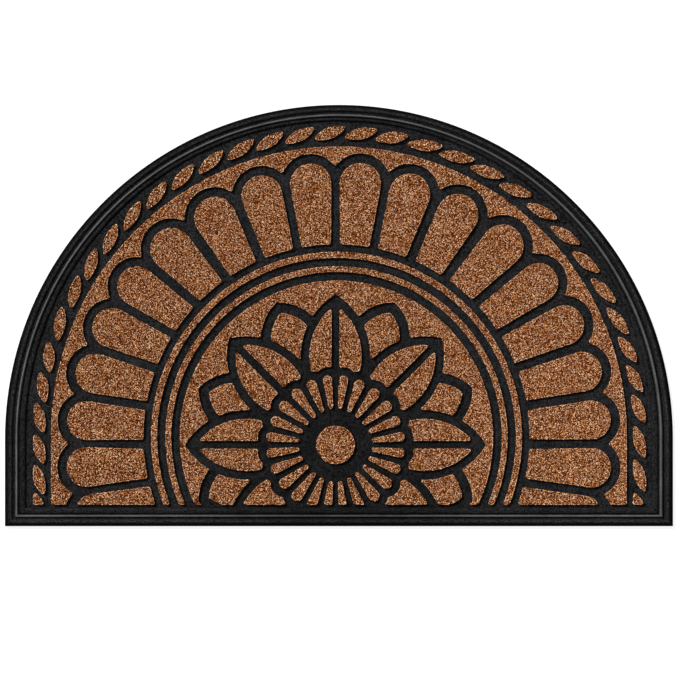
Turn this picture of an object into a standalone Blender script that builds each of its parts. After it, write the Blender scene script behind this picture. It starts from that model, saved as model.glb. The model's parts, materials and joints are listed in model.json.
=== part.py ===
"""Half-round rubber doormat with pads of short brown pile bonded to it.

Metres, +Z up. The flat underside lies on z = 0, the straight edge runs along X on the -Y side,
and the origin is at the middle of the mat's box, on the underside.
"""

import itertools
import math

import bmesh
import bpy
from mathutils import Vector

MM = 0.001

# How far a drawn arc may lie inside the true one
ARC_SLACK = 0.15 * MM

# Mat outline: a half circle that runs on into two short upright sides
WIDTH = 750 * MM
DEPTH = 473 * MM
OUTER_RADIUS = WIDTH / 2
CROWN_Y = DEPTH / 2
STRAIGHT_EDGE_Y = -DEPTH / 2

# Heights
FLOOR = 4.2 * MM
CLEARANCE = 0.3 * MM
PILE_FOOT = FLOOR + CLEARANCE
PILE_TOP = 7.0 * MM
STRIP_FOOT = PILE_FOOT + 0.1 * MM
STRIP_TOP = 5.1 * MM

# Rim section, from the outer edge inwards: how far in it lies at the upright sides,
# at the crown of the arc and at the straight edge, and how high it stands
RIM_SECTION = (
    # side, crown, foot, height
    (0.0, 0.0, 0.0, 0.0),
    (0.0, 0.0, 0.0, 3.2),
    (1.4, 1.1, 1.2, 5.4),
    (3.6, 2.6, 3.2, 6.5),
    (6.0, 4.4, 5.4, 6.8),
    (8.2, 6.5, 7.5, 6.2),
    (10.1, 8.1, 9.0, 4.9),
    (11.8, 9.8, 9.9, 6.4),
    (13.2, 11.2, 11.0, 7.3),
    (14.3, 12.1, 12.0, 7.2),
    (16.5, 13.9, 13.7, 4.9),
    (17.7, 15.0, 15.0, 5.9),
    (21.9, 17.2, 19.2, 5.9),
    (23.8, 18.5, 20.9, 4.2),
)
RIM_ARC_STEPS = 64

# Pads: the straight line where all of them end, and their rounded corners. Scalloped outlines
# are drawn to well below that line, this many degrees round their outermost circles.
PAD_FOOT_Y = STRAIGHT_EDGE_Y + 24.0 * MM
BELOW_FOOT = 10 * MM
END_TURN = 60
CORNER_TURN = 35
CORNER_RADIUS = 2.8 * MM
CORNER_REACH = 7.0 * MM
CORNER_STEPS = 4

# Rosette. Its flutes lean towards the four main directions, where they are a little longer and
# slimmer and start further out.
ROSETTE_CENTRE = Vector((-3.8, -145.1)) * MM
DISC_RADIUS = 21.9 * MM
FLUTES = 24
FLUTE_PITCH = 360 / FLUTES
MAIN_DIRECTIONS = 4
FLUTE_LEAN = 0.95
FLUTE_START = 42.2 * MM
FLUTE_START_CHANGE = 1.4 * MM
FLUTE_START_RADIUS = 2.7 * MM
FLUTE_END = 72.2 * MM
FLUTE_END_CHANGE = 0.9 * MM
FLUTE_END_RADIUS = 5.9 * MM
FLUTE_SLIMMING = 0.6 * MM
FLUTE_STRIP_RADII = (49.0 * MM, 52.0 * MM)

# Large petals: each side is an arc, drawn about a point across the petal's axis
PETALS = 5
PETAL_PITCH = 45
PETAL_ARC_ALONG = 99.9 * MM
PETAL_ARC_ACROSS = 41.8 * MM
PETAL_ARC_RADIUS = 71.4 * MM
PETAL_LINE = 9.2 * MM
MIDRIB = 8.4 * MM

# Small petals between the large ones, a little longer towards the crown
SMALL_ARC_ACROSS = 19.8 * MM
SMALL_ARC_RADIUS = 44.4 * MM
SMALL_LINE = 11.0 * MM
SMALL_PETALS = (
    # axis angle, distance of the side arcs' centres along the axis
    (-22.5, 114.3),
    (22.5, 114.3),
    (67.5, 121.0),
    (112.5, 121.0),
    (157.5, 114.3),
    (202.5, 114.3),
)

# Rings round the rosette
RING_CENTRE = Vector((-2.7, -136.6)) * MM
INNER_FIELD_RADIUS = 176.0 * MM
RING_RADII = ((185.2 * MM, 192.1 * MM), (201.0 * MM, 208.3 * MM))
ARCH_BASE_RADIUS = 216.3 * MM
RING_SWEEP = (-35, 215)

# Arches: pads that widen from the same foot to round heads, near even spokes about the rosette's
# centre. Both sides are alike. A slip leads away from the crown, along the arcade.
ARCH_PITCH = 11.25
ARCH_FOOT_WIDTH = 33.4 * MM
ARCH_HEAD_CENTRE = Vector((0.0, -136.9)) * MM
ARCH_HEAD_CIRCLE = 284.0 * MM
ARCHES = (
    # in mm, from the crown downwards: foot's slip, head's slip, head's shift outwards, head's radius
    (-0.5, -1.0, 1.8, 23.4),
    (-1.9, -2.1, 0.3, 23.3),
    (-1.8, -1.0, -0.9, 23.6),
    (-1.7, 2.9, -1.1, 23.8),
    (-1.7, 3.8, -0.8, 22.2),
    (-2.6, 2.4, -1.7, 22.5),
    (-2.2, 1.6, -1.7, 22.5),
    (-1.3, 0.2, -0.3, 22.0),
    (0.0, -2.7, 1.0, 22.4),
    (0.6, -3.4, 3.0, 23.8),
)

# Outer field, scalloped round the arches' heads
SCALLOP_LINE = 10.3 * MM
FIELD_CENTRE = Vector((0, -133.2)) * MM
FIELD_RADIUS = 323.0 * MM

# Rope border: slanted leaves along an arch-shaped line, in runs of like leaves, up the right side,
# over the crown and down the left
ROPE_CENTRE = Vector((0.5, -131.9)) * MM
ROPE_RADIUS = 336.5 * MM
FIRST_LEAF = -85.0 * MM
ROPE_RUNS = (
    # leaves, their pitch and length in mm, and their tilt in degrees
    (3, 37.5, 42.0, 18.5),
    (3, 33.8, 38.5, 21.0),
    (6, 37.7, 43.0, 18.5),
    (3, 38.1, 45.0, 14.0),
    (2, 34.9, 42.0, 18.0),
    (3, 34.1, 40.5, 21.0),
    (7, 35.8, 41.5, 19.0),
    (2, 39.4, 42.5, 15.5),
    (4, 34.6, 38.5, 18.3),
    (2, 31.5, 38.5, 18.3),
)
LEAF_WIDTH = 13.3 * MM
LEAF_FULLNESS = 0.85
LEAF_SKEW = 0.12
LEAF_SIDE_STEPS = 7
ROPE_STRIP_WIDTH = 3.0 * MM
ROPE_STRIP_INSET = 4.0 * MM

# Materials, with the crease angle above which the rim stays sharp
RUBBER_COLOUR = (0.016, 0.016, 0.017, 1)
RUBBER_ROUGHNESS = 0.55
PILE_COLOUR = (0.268, 0.115, 0.054, 1)
PILE_ROUGHNESS = 0.95
RIM_CREASE = 40

# Points closer than this are one
WELD = 0.001 * MM


# Plane geometry


def polar(centre, radius, angle):
    """The point at a radius and an angle in degrees about a centre."""
    turn = math.radians(angle)
    return centre + Vector((math.cos(turn), math.sin(turn))) * radius


def bearing(centre, point):
    """The angle in degrees at which a point is seen from a centre."""
    return math.degrees(math.atan2(point.y - centre.y, point.x - centre.x))


def arc_steps(radius, sweep):
    """How many straight steps draw an arc of so many degrees closely enough."""
    widest = 2 * math.acos(1 - ARC_SLACK / radius)
    return math.ceil(math.radians(abs(sweep)) / widest)


def arc(centre, radius, start, end, steps=None):
    """Points from one angle to another on a circle, with both ends."""
    steps = steps or arc_steps(radius, end - start)
    return [
        polar(centre, radius, start + (end - start) * step / steps)
        for step in range(steps + 1)
    ]


def circle_outline(centre, radius):
    """A whole circle, its first point not repeated."""
    return arc(centre, radius, 0, 360)[:-1]


def arc_between(circle, start, end, clockwise=False):
    """Points on a circle from one of its points round to another."""
    centre, radius = circle
    first = bearing(centre, start)
    turn = (bearing(centre, end) - first) % 360
    if clockwise:
        turn -= 360
    return arc(centre, radius, first, first + turn)


def crossing(one, other):
    """Where two circles cross, on the side away from the rosette."""
    (centre, radius), (other_centre, other_radius) = one, other
    across = other_centre - centre
    along = (across.length**2 + radius**2 - other_radius**2) / (2 * across.length)
    rise = math.sqrt(radius**2 - along**2)
    middle = centre + across.normalized() * along
    side = Vector((-across.y, across.x)).normalized() * rise
    return max(
        (middle + side, middle - side),
        key=lambda point: (point - ROSETTE_CENTRE).length,
    )


def line_crossing(start, direction, circle):
    """Where a line leaves a circle, going along its direction."""
    centre, radius = circle
    offset = start - centre
    half = offset.dot(direction)
    reach = -half + math.sqrt(half**2 - offset.length_squared + radius**2)
    return start + direction * reach


def chain(circles, first, last):
    """Arcs of neighbouring circles, each drawn from one crossing to the next."""
    ends = [first]
    ends += [crossing(one, other) for one, other in zip(circles, circles[1:])]
    ends.append(last)
    points = [first]
    for circle, start, end in zip(circles, ends, ends[1:]):
        points += arc_between(circle, start, end)[1:]
    return points


def trimmed(outline):
    """The outline cut off straight along the line where all pads end."""
    kept = []
    for start, end in zip(outline, outline[1:] + outline[:1]):
        if start.y >= PAD_FOOT_Y:
            kept.append(start)
        if (start.y - PAD_FOOT_Y) * (end.y - PAD_FOOT_Y) < 0:
            kept.append(start.lerp(end, (PAD_FOOT_Y - start.y) / (end.y - start.y)))
    return kept


def apart(one, other, whole):
    """How far apart two places on a closed outline lie, the shorter way round."""
    distance = abs(one - other)
    return min(distance, whole - distance)


def point_along(outline, places, distance):
    """The point at a distance along a closed outline, whose points lie at the given places."""
    distance %= places[-1]
    number = sum(place <= distance for place in places[1:-1])
    start, end = outline[number], outline[(number + 1) % len(outline)]
    return start.lerp(end, (distance - places[number]) / (places[number + 1] - places[number]))


def rounded(outline):
    """The outline with a short curve in place of each sharp corner."""
    sides = [end - start for start, end in zip(outline, outline[1:] + outline[:1])]
    places = [0.0, *itertools.accumulate(side.length for side in sides)]
    whole = places[-1]
    turns = [sides[number - 1].angle(side) for number, side in enumerate(sides)]
    corners = [number for number, turn in enumerate(turns) if turn > math.radians(CORNER_TURN)]
    kept = dict(zip(places, outline))
    for corner in corners:
        place = places[corner]
        room = [apart(place, places[other], whole) for other in corners if other != corner]
        reach = CORNER_RADIUS * math.tan(turns[corner] / 2)
        reach = min([reach, CORNER_REACH, *(0.49 * distance for distance in room)])
        kept = {other: kept[other] for other in kept if apart(place, other, whole) > reach}
        start = point_along(outline, places, place - reach)
        end = point_along(outline, places, place + reach)
        for step in range(CORNER_STEPS + 1):
            share = step / CORNER_STEPS
            first = start.lerp(outline[corner], share)
            second = outline[corner].lerp(end, share)
            kept[(place + (2 * share - 1) * reach) % whole] = first.lerp(second, share)
    return [kept[place] for place in sorted(kept)]


# Outlines of the pads


def ring_outline(inner, outer):
    """A thin ring, open at the straight edge."""
    start, end = RING_SWEEP
    return arc(RING_CENTRE, outer, start, end) + arc(RING_CENTRE, inner, end, start)


def arch_places():
    """Each arch's side of the crown, its row down from the crown and its spoke, from right to left."""
    half = len(ARCHES)
    for number in range(2 * half):
        side = 1 if number < half else -1
        row = half - 1 - number if number < half else number - half
        yield side, row, 90 - side * ARCH_PITCH * (row + 0.5)


def arch_head(side, row, spoke):
    """The circle of an arch's round head."""
    _, slip, shift, radius = ARCHES[row]
    outwards = polar(Vector((0, 0)), 1, spoke)
    downwards = polar(Vector((0, 0)), 1, spoke - side * 90)
    even = line_crossing(ROSETTE_CENTRE, outwards, (ARCH_HEAD_CENTRE, ARCH_HEAD_CIRCLE))
    return even + (outwards * shift + downwards * slip) * MM, radius * MM


def tangent_turn(point, circle):
    """Half the angle between the two lines from a point that touch a circle, seen from its centre."""
    centre, radius = circle
    return math.degrees(math.acos(radius / (point - centre).length))


def arch_outline(side, row, spoke):
    """A tapered pad with a curved base and a round head, which its straight sides touch."""
    base = (RING_CENTRE, ARCH_BASE_RADIUS)
    outwards = polar(Vector((0, 0)), 1, spoke)
    middle = bearing(RING_CENTRE, line_crossing(ROSETTE_CENTRE, outwards, base))
    middle -= side * math.degrees(ARCHES[row][0] * MM / ARCH_BASE_RADIUS)
    half = math.degrees(ARCH_FOOT_WIDTH / 2 / ARCH_BASE_RADIUS)
    foot = arc(RING_CENTRE, ARCH_BASE_RADIUS, middle + half, middle - half)
    head = arch_head(side, row, spoke)
    start = bearing(head[0], foot[-1]) + tangent_turn(foot[-1], head)
    end = bearing(head[0], foot[0]) - tangent_turn(foot[0], head)
    return foot + arc(*head, start, start + (end - start) % 360)


def scallop(side, row, spoke):
    """The circle of the outer field's edge round an arch's head."""
    centre, radius = arch_head(side, row, spoke)
    return centre, radius + SCALLOP_LINE


def outer_field_outline():
    """Between the rope border and the arches: round and plain outside, scalloped inside."""
    below = Vector((0, PAD_FOOT_Y - BELOW_FOOT - FIELD_CENTRE.y))
    outer = arc(FIELD_CENTRE, FIELD_RADIUS, 0, 180)
    outer = [outer[0] + below, *outer, outer[-1] + below]
    places = list(arch_places())
    circles = [scallop(*place) for place in places]
    first = polar(*circles[0], places[0][-1] - END_TURN)
    last = polar(*circles[-1], places[-1][-1] + END_TURN)
    return outer + chain(circles, first, last)[::-1]


def petal_circle(axis, side, line=0.0):
    """The circle of one side of a large petal, drawn larger by the rubber line round it."""
    along = polar(ROSETTE_CENTRE, PETAL_ARC_ALONG, axis)
    centre = polar(along, PETAL_ARC_ACROSS, axis - side * 90)
    return centre, PETAL_ARC_RADIUS + line


def small_petal_circle(axis, along, side, line=0.0):
    """The circle of one side of a small petal, drawn larger by the rubber line round it."""
    middle = polar(ROSETTE_CENTRE, along * MM, axis)
    centre = polar(middle, SMALL_ARC_ACROSS, axis - side * 90)
    return centre, SMALL_ARC_RADIUS + line


def flute_ends(axis):
    """The circles of a flute's two round ends, and the angle at which it lies."""
    wave = math.radians(MAIN_DIRECTIONS * axis)
    lying = axis - FLUTE_LEAN * math.sin(wave)
    start = FLUTE_START + FLUTE_START_CHANGE * math.cos(wave)
    end = FLUTE_END + FLUTE_END_CHANGE * math.cos(wave)
    end_radius = FLUTE_END_RADIUS - FLUTE_SLIMMING * math.cos(wave)
    inner = (polar(ROSETTE_CENTRE, start, lying), FLUTE_START_RADIUS)
    return inner, (polar(ROSETTE_CENTRE, end, lying), end_radius), lying


def flute_gap(axis):
    """The circle of the rubber line round a flute's outer end."""
    centre, radius = flute_ends(axis)[1]
    return centre, radius + PETAL_LINE


def half_petal_outline(axis, side):
    """Half a large petal beside its midrib: it ends inside in scallops round two flutes."""
    outer = petal_circle(axis, side)
    flutes = [flute_gap(axis + side * FLUTE_PITCH * number) for number in (0.5, 1.5)]
    start = polar(ROSETTE_CENTRE, MIDRIB / 2, axis + side * 90)
    direction = polar(Vector((0, 0)), 1, axis)
    inner_corner = line_crossing(start, direction, flutes[0])
    tip = line_crossing(start, direction, outer)
    cusp = crossing(*flutes)
    outer_corner = crossing(flutes[1], outer)
    turned = side < 0
    outline = arc_between(flutes[0], inner_corner, cusp, clockwise=turned)
    outline += arc_between(flutes[1], cusp, outer_corner, clockwise=turned)[1:]
    return outline + arc_between(outer, outer_corner, tip, clockwise=not turned)[1:]


def whole_petal_outline(axis):
    """A large petal without a midrib, for the two that the straight edge cuts off."""
    sides = [petal_circle(axis, side) for side in (-1, 1)]
    flutes = [flute_gap(axis + FLUTE_PITCH * number) for number in (-1.5, -0.5, 0.5, 1.5)]
    corners = [crossing(sides[0], flutes[0]), crossing(flutes[-1], sides[1])]
    tip = crossing(*sides)
    outline = chain(flutes, *corners)
    outline += arc_between(sides[1], corners[1], tip, clockwise=True)[1:]
    return outline + arc_between(sides[0], tip, corners[0], clockwise=True)[1:-1]


def small_petal_outline(axis, along):
    """A pointed pad in the fork between two large petals."""
    forks = [
        petal_circle(axis - PETAL_PITCH / 2, 1, PETAL_LINE),
        petal_circle(axis + PETAL_PITCH / 2, -1, PETAL_LINE),
    ]
    sides = [small_petal_circle(axis, along, side) for side in (-1, 1)]
    root = crossing(*forks)
    shoulders = [crossing(fork, side) for fork, side in zip(forks, sides)]
    tip = crossing(*sides)
    outline = arc_between(forks[0], root, shoulders[0], clockwise=True)
    outline += arc_between(sides[0], shoulders[0], tip)[1:]
    outline += arc_between(sides[1], tip, shoulders[1])[1:]
    return outline + arc_between(forks[1], shoulders[1], root, clockwise=True)[1:-1]


def inner_field_outline():
    """Between the flower and the rings: round outside, and the flower's outline inside."""
    start, end = RING_SWEEP
    outer = arc(RING_CENTRE, INNER_FIELD_RADIUS, start, end)
    circles = []
    for axis, along in SMALL_PETALS:
        circles += [small_petal_circle(axis, along, side, SMALL_LINE) for side in (-1, 1)]
        large = axis + PETAL_PITCH / 2
        circles += [petal_circle(large, side, PETAL_LINE) for side in (-1, 1)]
    circles = circles[:-2]
    first = polar(*circles[0], SMALL_PETALS[0][0] - END_TURN)
    last = polar(*circles[-1], SMALL_PETALS[-1][0] + END_TURN)
    return outer + chain(circles, first, last)[::-1]


def flute_outline(axis):
    """A tapered pad with two round ends."""
    inner, outer, lying = flute_ends(axis)
    taper = (outer[1] - inner[1]) / (outer[0] - inner[0]).length
    turn = 90 + math.degrees(math.asin(taper))
    return arc(*outer, lying - turn, lying + turn) + arc(*inner, lying + turn, lying + 360 - turn)


def rope_place(distance, sideways=0.0):
    """Point and heading on the rope's line: up the right side, over the crown, down the left.

    The distance counts from where the right side turns into the arc.
    """
    crown = math.pi * ROPE_RADIUS
    radius = ROPE_RADIUS - sideways
    if distance < 0:
        return ROPE_CENTRE + Vector((radius, distance)), 90
    if distance > crown:
        return ROPE_CENTRE + Vector((-radius, crown - distance)), 270
    angle = math.degrees(distance / ROPE_RADIUS)
    return polar(ROPE_CENTRE, radius, angle), angle + 90


def leaf_places():
    """How far along the rope's line each leaf's middle lies, and the leaf's length and tilt."""
    distance = FIRST_LEAF
    for leaves, pitch, length, tilt in ROPE_RUNS:
        for _ in range(leaves):
            yield distance, length * MM, tilt
            distance += pitch * MM


def leaf_outline(distance, length, tilt):
    """A pointed leaf, slanted to the rope's line and fuller on its two far shoulders."""
    middle, heading = rope_place(distance)
    points = []
    for side in (1, -1):
        for step in range(LEAF_SIDE_STEPS):
            share = step / LEAF_SIDE_STEPS
            if side < 0:
                share = 1 - share
            swell = math.sin(math.pi * share) ** LEAF_FULLNESS
            swell *= 1 + side * LEAF_SKEW * math.cos(math.pi * share)
            points.append(
                Vector((length * (share - 0.5), side * LEAF_WIDTH / 2 * swell))
            )
    turn = math.radians(heading + tilt)
    along = Vector((math.cos(turn), math.sin(turn)))
    across = Vector((-along.y, along.x))
    return [middle + along * point.x + across * point.y for point in points]


def rope_strip_outline():
    """The narrow strip that carries the leaves, down to just above the line where pads end."""
    crown = math.pi * ROPE_RADIUS
    side = ROPE_CENTRE.y - PAD_FOOT_Y - ROPE_STRIP_INSET
    steps = arc_steps(ROPE_RADIUS, 180)
    distances = [-side, *(crown * step / steps for step in range(steps + 1)), crown + side]
    half = ROPE_STRIP_WIDTH / 2
    outer = [rope_place(distance, -half)[0] for distance in distances]
    inner = [rope_place(distance, half)[0] for distance in distances]
    return outer + inner[::-1]


# Solids


def principled(name, colour, roughness):
    """A plain material with a colour and a roughness."""
    material = bpy.data.materials.new(name)
    material.use_nodes = True
    shader = material.node_tree.nodes["Principled BSDF"]
    shader.inputs["Base Color"].default_value = colour
    shader.inputs["Roughness"].default_value = roughness
    shader.inputs["Metallic"].default_value = 0.0
    material.diffuse_color = colour
    return material


def flat_curve(name, outlines, foot, top):
    """A filled 2D curve through the outlines, extruded from one height to another."""
    points = [point for outline in outlines for point in outline]
    low = Vector((min(p.x for p in points), min(p.y for p in points)))
    high = Vector((max(p.x for p in points), max(p.y for p in points)))
    origin = (low + high) / 2
    curve = bpy.data.curves.new(name, "CURVE")
    curve.dimensions = "2D"
    curve.fill_mode = "BOTH"
    curve.extrude = (top - foot) / 2
    for outline in outlines:
        spline = curve.splines.new("POLY")
        spline.points.add(len(outline) - 1)
        for place, point in zip(spline.points, outline):
            place.co = (*(point - origin), 0, 1)
        spline.use_cyclic_u = True
    piece = bpy.data.objects.new(name, curve)
    piece.location = (*origin, (foot + top) / 2)
    return piece


def pad(name, outline, mat, pile):
    """One pad of pile, bonded flat on the rubber floor."""
    piece = flat_curve(name, [rounded(trimmed(outline))], PILE_FOOT, PILE_TOP)
    piece.data.materials.append(pile)
    mat.objects.link(piece)
    return piece


def meshed(curve_object, collection):
    """The curve object as a mesh object in a collection, its caps welded to its sides."""
    name = curve_object.name
    collection.objects.link(curve_object)
    bpy.context.view_layer.update()
    evaluated = curve_object.evaluated_get(bpy.context.evaluated_depsgraph_get())
    mesh = bpy.data.meshes.new_from_object(evaluated)
    matrix = curve_object.matrix_world.copy()
    bpy.data.objects.remove(curve_object)
    shape = bmesh.new()
    shape.from_mesh(mesh)
    bmesh.ops.remove_doubles(shape, verts=shape.verts, dist=WELD)
    bmesh.ops.recalc_face_normals(shape, faces=shape.faces)
    shape.to_mesh(mesh)
    shape.free()
    solid = bpy.data.objects.new(name, mesh)
    solid.matrix_world = matrix
    collection.objects.link(solid)
    return solid


def pads_on_strip(name, outlines, strip_outlines, mat, helpers, pile):
    """Small pads in a row, fused to the narrow strip that carries them."""
    outlines = [rounded(trimmed(outline)) for outline in outlines]
    pads = meshed(flat_curve(name + "_pads", outlines, PILE_FOOT, PILE_TOP), helpers)
    pads.hide_render = True
    pads.display_type = "WIRE"
    strip = meshed(flat_curve(name, strip_outlines, STRIP_FOOT, STRIP_TOP), mat)
    strip.data.materials.append(pile)
    join = strip.modifiers.new("Join pads", "BOOLEAN")
    join.operation = "UNION"
    join.solver = "EXACT"
    join.object = pads
    return strip


def rim_loop(side, crown, foot):
    """The mat's outline drawn in by an amount at the sides, the crown and the straight edge."""
    radius = OUTER_RADIUS - side
    centre = Vector((0, CROWN_Y - crown - radius))
    edge = STRAIGHT_EDGE_Y + foot
    loop = arc(centre, radius, 0, 180, RIM_ARC_STEPS)
    return [Vector((radius, edge)), *loop, Vector((-radius, edge))]


def rubber_base(mat, rubber):
    """The moulded plate: flat below, a beaded rim, and a lower floor inside it."""
    shape = bmesh.new()
    loops = []
    for side, crown, foot, height in RIM_SECTION:
        loop = rim_loop(side * MM, crown * MM, foot * MM)
        loops.append([shape.verts.new((point.x, point.y, height * MM)) for point in loop])
    for lower, upper in zip(loops, loops[1:]):
        for index in range(len(lower)):
            shape.faces.new(
                (lower[index - 1], lower[index], upper[index], upper[index - 1])
            )
    shape.faces.new(loops[0][::-1])
    shape.faces.new(loops[-1])
    bmesh.ops.recalc_face_normals(shape, faces=shape.faces)
    mesh = bpy.data.meshes.new("rubber_base")
    shape.to_mesh(mesh)
    shape.free()
    mesh.shade_smooth()
    mesh.set_sharp_from_angle(angle=math.radians(RIM_CREASE))
    mesh.materials.append(rubber)
    base = bpy.data.objects.new("rubber_base", mesh)
    mat.objects.link(base)
    return base


def rosette(mat, helpers, pile):
    """The flower in the middle: disc, flutes, and large and small petals."""
    pad("rosette_disc", circle_outline(ROSETTE_CENTRE, DISC_RADIUS), mat, pile)
    flutes = [flute_outline(FLUTE_PITCH * (number + 0.5)) for number in range(FLUTES)]
    strip = [circle_outline(ROSETTE_CENTRE, radius) for radius in FLUTE_STRIP_RADII]
    pads_on_strip("rosette_flutes", flutes, strip, mat, helpers, pile)
    for number in range(PETALS):
        for side, place in ((-1, "right"), (1, "left")):
            outline = half_petal_outline(number * PETAL_PITCH, side)
            pad(f"petal_{number + 1}_{place}", outline, mat, pile)
    pad("petal_cut_right", whole_petal_outline(-PETAL_PITCH), mat, pile)
    pad("petal_cut_left", whole_petal_outline(180 + PETAL_PITCH), mat, pile)
    for number, (axis, along) in enumerate(SMALL_PETALS, 1):
        pad(f"small_petal_{number}", small_petal_outline(axis, along), mat, pile)


def main():
    for thing in list(bpy.data.objects):
        bpy.data.objects.remove(thing)
    mat = bpy.data.collections.new("half_round_doormat")
    helpers = bpy.data.collections.new("helpers")
    for collection in (mat, helpers):
        bpy.context.scene.collection.children.link(collection)
    rubber = principled("moulded_rubber", RUBBER_COLOUR, RUBBER_ROUGHNESS)
    pile = principled("brown_pile", PILE_COLOUR, PILE_ROUGHNESS)

    rubber_base(mat, rubber)
    rosette(mat, helpers, pile)
    pad("inner_field", inner_field_outline(), mat, pile)
    for name, radii in zip(("ring_inner", "ring_outer"), RING_RADII):
        pad(name, ring_outline(*radii), mat, pile)
    for number, place in enumerate(arch_places(), 1):
        pad(f"arch_{number:02d}", arch_outline(*place), mat, pile)
    pad("outer_field", outer_field_outline(), mat, pile)
    leaves = [leaf_outline(*place) for place in leaf_places()]
    pads_on_strip("rope_leaves", leaves, [rope_strip_outline()], mat, helpers, pile)


main()
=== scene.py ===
"""Half-round rubber doormat: a moulded black rubber plate with a beaded rim, and pads of short
crinkled brown pile bonded to it in a rosette, two rings, an arcade of arches and a rope border.

Metres, +Z up. The mat lies on z = 0, its straight edge runs along X on the -Y side.
"""

import json
import math

import bmesh
import bpy
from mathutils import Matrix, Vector, kdtree

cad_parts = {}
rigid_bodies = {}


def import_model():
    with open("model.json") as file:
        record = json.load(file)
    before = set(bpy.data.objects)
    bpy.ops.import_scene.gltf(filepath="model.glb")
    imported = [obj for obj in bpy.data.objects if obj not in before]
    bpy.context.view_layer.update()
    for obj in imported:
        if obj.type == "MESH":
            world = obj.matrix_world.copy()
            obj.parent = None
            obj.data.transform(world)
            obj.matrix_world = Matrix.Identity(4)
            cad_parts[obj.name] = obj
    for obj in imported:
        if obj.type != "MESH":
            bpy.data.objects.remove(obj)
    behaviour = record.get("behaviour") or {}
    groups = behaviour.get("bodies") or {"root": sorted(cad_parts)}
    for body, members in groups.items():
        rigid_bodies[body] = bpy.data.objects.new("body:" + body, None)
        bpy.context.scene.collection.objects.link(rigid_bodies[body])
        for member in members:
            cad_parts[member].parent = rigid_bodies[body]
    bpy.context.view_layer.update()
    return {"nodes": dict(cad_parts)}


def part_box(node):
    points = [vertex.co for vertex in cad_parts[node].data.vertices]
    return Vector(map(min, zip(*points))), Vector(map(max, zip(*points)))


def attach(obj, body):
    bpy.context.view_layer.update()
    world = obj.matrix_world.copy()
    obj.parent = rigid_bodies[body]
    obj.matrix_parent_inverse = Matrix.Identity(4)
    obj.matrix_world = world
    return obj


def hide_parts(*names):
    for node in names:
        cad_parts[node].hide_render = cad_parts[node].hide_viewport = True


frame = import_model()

bl_info = {
    "name": "Half-round rubber doormat",
    "version": (1, 0, 0),
    "blender": (4, 5, 0),
    "location": "3D View > Sidebar > Doormat",
    "description": "A moulded rubber doormat with pads of short crinkled pile",
    "category": "Add Mesh",
}

MM = 0.001
PLATE_NODE = "rubber_base"
PLATE_LOW, PLATE_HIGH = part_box(PLATE_NODE)
PAD_LOW, PAD_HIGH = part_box("outer_field")
DISC_LOW, DISC_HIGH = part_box("rosette_disc")
FLOWER_MIDDLE = (DISC_LOW + DISC_HIGH) / 2

# The map through which each pile piece's colours are looked up
BAKE_MAP = "OFBake"


def linear(colour):
    """An sRGB hex colour as the linear red, green and blue that shaders take."""
    channels = [int(colour[place : place + 2], 16) / 255 for place in (1, 3, 5)]
    return tuple(c / 12.92 if c <= 0.04045 else ((c + 0.055) / 1.055) ** 2.4 for c in channels)


# Settings


class PlateSettings(bpy.types.PropertyGroup):
    """The moulded rubber plate."""

    # The grooves' and outer walls' deep black is painted shade
    groove_shade_colour: bpy.props.FloatVectorProperty(
        name="Grooves", description="Deep black of the rim's grooves and outer walls",
        default=linear("#020202"), subtype="COLOR", min=0, max=1,
    )
    floor_colour: bpy.props.FloatVectorProperty(
        name="Rubber", description="Matt black of the floor between the pads",
        default=linear("#171718"), subtype="COLOR", min=0, max=1,
    )
    # The ridge's grey is partly wear and partly a painted highlight
    worn_highlight_colour: bpy.props.FloatVectorProperty(
        name="Worn ridge", description="Grey of the rubber where shoes rub the rim's ridge",
        default=linear("#484848"), subtype="COLOR", min=0, max=1,
    )
    step: bpy.props.FloatProperty(
        name="Step", description="Length of the faces along the rim",
        default=6.5 * MM, min=1 * MM, unit="LENGTH",
    )


class PileSettings(bpy.types.PropertyGroup):
    """The pads of pile: a low bed, and small crinkled loops of yarn that stand on it."""

    spacing: bpy.props.FloatProperty(
        name="Loop spacing", description="Least distance between two loops of yarn",
        default=0.9 * MM, min=0.5 * MM, unit="LENGTH",
    )
    yarn_size: bpy.props.FloatProperty(
        name="Loop size", description="Size of the loops, as a share of the usual 1.4 to 1.8 mm",
        default=1.0, min=0.1,
    )
    inset: bpy.props.FloatProperty(
        name="Bed inset", description="How far the bed stays inside the pad's outline",
        default=0.65 * MM, min=0, unit="LENGTH",
    )
    edge: bpy.props.FloatProperty(
        name="Edge", description="How far the loose loops stay inside the row on the bed's edge",
        default=0.8 * MM, min=0, unit="LENGTH",
    )
    edge_spacing: bpy.props.FloatProperty(
        name="Edge spacing", description="From loop to loop in the row on the bed's edge",
        default=1.0 * MM, min=0.5 * MM, unit="LENGTH",
    )
    bed_drop: bpy.props.FloatProperty(
        name="Bed drop", description="How far the bed's top lies below the pad's top",
        default=0.4 * MM, min=0, unit="LENGTH",
    )
    seed: bpy.props.IntProperty(
        name="Seed", description="Fixes where the loops stand", default=4, min=0,
    )


class StageSettings(bpy.types.PropertyGroup):
    """Camera, light and floor."""

    lens: bpy.props.FloatProperty(
        name="Lens", description="Focal length of the camera", default=135.0, min=10.0,
    )
    view_width: bpy.props.FloatProperty(
        name="View width", description="Width of the picture at the mat",
        default=763.4 * MM, min=0.1, unit="LENGTH",
    )
    key_strength: bpy.props.FloatProperty(
        name="Key light", description="Strength of the light from the upper left",
        default=7.15, min=0,
    )
    sky_strength: bpy.props.FloatProperty(
        name="Surrounding light", description="Strength of the white light from all round",
        default=0.52, min=0,
    )


class DoormatSettings(bpy.types.PropertyGroup):
    """All settings of the mat and its stage."""

    plate: bpy.props.PointerProperty(type=PlateSettings)
    pile: bpy.props.PointerProperty(type=PileSettings)
    stage: bpy.props.PointerProperty(type=StageSettings)


# Nodes


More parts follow.
